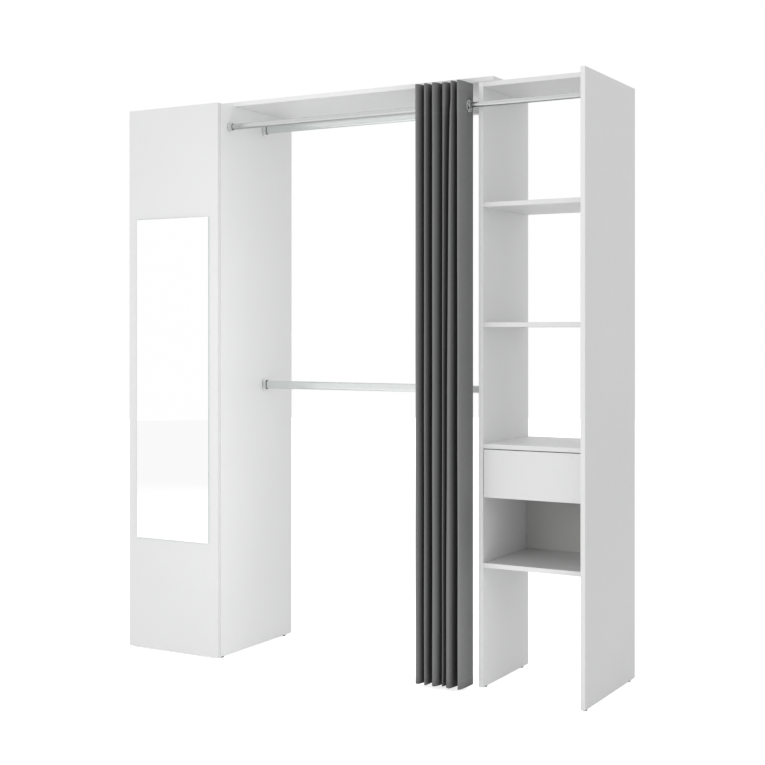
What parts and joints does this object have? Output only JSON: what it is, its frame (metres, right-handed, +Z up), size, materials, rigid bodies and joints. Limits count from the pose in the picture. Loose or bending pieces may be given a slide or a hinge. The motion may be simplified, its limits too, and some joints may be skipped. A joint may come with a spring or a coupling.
{
  "type": "open-front wardrobe",
  "caption": "Open wardrobe: a mirror-door cabinet and a shelf column with a drawer, joined by a top slab, hanging rods and a gathered curtain on a rod.",
  "frame": {"origin": "centre of the wardrobe's outline, on the floor", "axes": "+X to the right along the width, +Y from the front to the wall, +Z up"},
  "size_m": [1.8324, 0.4916, 2.0513],
  "materials": {
    "white_board": "white melamine-faced board with matching edge bands",
    "mirror_glass": "silvered glass",
    "chrome": "bright chrome plate",
    "zinc_steel": "nickel-plated pressed steel",
    "white_plastic": "white moulded plastic",
    "curtain_fabric": "dark grey plain-weave polyester"
  },
  "bodies": {
    "root": {"cabinet_left_side": "white_board", "cabinet_right_side": "white_board", "cabinet_top": "white_board", "cabinet_bottom": "white_board", "cabinet_shelf_1": "white_board", "cabinet_shelf_2": "white_board", "cabinet_back": "white_board", "top_slab": "white_board", "hinge_arm_1": "zinc_steel", "hinge_arm_2": "zinc_steel", "hinge_arm_3": "zinc_steel", "upper_rod_outer": "chrome", "lower_rod_outer": "chrome", "curtain_rod_outer": "chrome", "upper_rod_left_socket": "chrome", "lower_rod_left_socket": "chrome", "curtain_rod_left_socket": "chrome", "curtain_cloth": "curtain_fabric", "eyelet_12": "chrome"},
    "hinge_links": {"hinge_link_1": "zinc_steel", "hinge_link_2": "zinc_steel", "hinge_link_3": "zinc_steel"},
    "door": {"door_panel": "white_board", "mirror": "mirror_glass", "hinge_cup_1": "zinc_steel", "hinge_cup_2": "zinc_steel", "hinge_cup_3": "zinc_steel"},
    "column": {"column_left_side": "white_board", "column_right_side": "white_board", "column_top": "white_board", "column_shelf_1": "white_board", "column_shelf_2": "white_board", "column_shelf_3": "white_board", "column_bottom_shelf": "white_board", "niche_back": "white_board", "upper_rod_inner": "chrome", "lower_rod_inner": "chrome", "curtain_rod_inner": "chrome", "upper_rod_right_socket": "chrome", "lower_rod_right_socket": "chrome", "curtain_rod_right_socket": "chrome", "drawer_runner_left": "white_plastic", "drawer_runner_right": "white_plastic"},
    "drawer": {"drawer_front": "white_board", "drawer_left_side": "white_board", "drawer_right_side": "white_board", "drawer_back": "white_board", "drawer_bottom": "white_board"},
    "ring_11": {"eyelet_11": "chrome"},
    "ring_10": {"eyelet_10": "chrome"},
    "ring_09": {"eyelet_09": "chrome"},
    "ring_08": {"eyelet_08": "chrome"},
    "ring_07": {"eyelet_07": "chrome"},
    "ring_06": {"eyelet_06": "chrome"},
    "ring_05": {"eyelet_05": "chrome"},
    "ring_04": {"eyelet_04": "chrome"},
    "ring_03": {"eyelet_03": "chrome"},
    "ring_02": {"eyelet_02": "chrome"},
    "ring_01": {"eyelet_01": "chrome"}
  },
  "joints": [
    {"name": "link_turn", "type": "hinge", "parent": "root", "child": "hinge_links", "pos_m": [-0.8752, -0.2147, 1.02], "axis": [0, 0, 1], "range_deg": [0, 31.65]},
    {"name": "door_swing", "type": "hinge", "parent": "hinge_links", "child": "door", "pos_m": [-0.9042, -0.2282, 1.02], "axis": [0, 0, -1], "range_deg": [0, 126.6]},
    {"name": "width_adjust", "type": "slide", "parent": "root", "child": "column", "axis": [-1, 0, 0], "range_m": [0, 0.26]},
    {"name": "drawer_slide", "type": "slide", "parent": "column", "child": "drawer", "axis": [0, -1, 0], "range_m": [0, 0.24]},
    {"name": "curtain_draw", "type": "slide", "parent": "root", "child": "ring_11", "axis": [-1, 0, 0], "range_m": [0, 0.069], "deforming": ["curtain_cloth"]},
    {"name": "ring_10_slide", "type": "slide", "parent": "ring_11", "child": "ring_10", "axis": [-1, 0, 0], "range_m": [0, 0.069]},
    {"name": "ring_09_slide", "type": "slide", "parent": "ring_10", "child": "ring_09", "axis": [-1, 0, 0], "range_m": [0, 0.069]},
    {"name": "ring_08_slide", "type": "slide", "parent": "ring_09", "child": "ring_08", "axis": [-1, 0, 0], "range_m": [0, 0.069]},
    {"name": "ring_07_slide", "type": "slide", "parent": "ring_08", "child": "ring_07", "axis": [-1, 0, 0], "range_m": [0, 0.069]},
    {"name": "ring_06_slide", "type": "slide", "parent": "ring_07", "child": "ring_06", "axis": [-1, 0, 0], "range_m": [0, 0.069]},
    {"name": "ring_05_slide", "type": "slide", "parent": "ring_06", "child": "ring_05", "axis": [-1, 0, 0], "range_m": [0, 0.069]},
    {"name": "ring_04_slide", "type": "slide", "parent": "ring_05", "child": "ring_04", "axis": [-1, 0, 0], "range_m": [0, 0.069]},
    {"name": "ring_03_slide", "type": "slide", "parent": "ring_04", "child": "ring_03", "axis": [-1, 0, 0], "range_m": [0, 0.069]},
    {"name": "ring_02_slide", "type": "slide", "parent": "ring_03", "child": "ring_02", "axis": [-1, 0, 0], "range_m": [0, 0.069]},
    {"name": "ring_01_slide", "type": "slide", "parent": "ring_02", "child": "ring_01", "axis": [-1, 0, 0], "range_m": [0, 0.069]}
  ],
  "couplings": [
    {"joint": "link_turn", "follows": "door_swing", "ratio": 0.25},
    {"joint": "ring_10_slide", "follows": "curtain_draw", "ratio": 1},
    {"joint": "ring_09_slide", "follows": "curtain_draw", "ratio": 1},
    {"joint": "ring_08_slide", "follows": "curtain_draw", "ratio": 1},
    {"joint": "ring_07_slide", "follows": "curtain_draw", "ratio": 1},
    {"joint": "ring_06_slide", "follows": "curtain_draw", "ratio": 1},
    {"joint": "ring_05_slide", "follows": "curtain_draw", "ratio": 1},
    {"joint": "ring_04_slide", "follows": "curtain_draw", "ratio": 1},
    {"joint": "ring_03_slide", "follows": "curtain_draw", "ratio": 1},
    {"joint": "ring_02_slide", "follows": "curtain_draw", "ratio": 1},
    {"joint": "ring_01_slide", "follows": "curtain_draw", "ratio": 1}
  ]
}
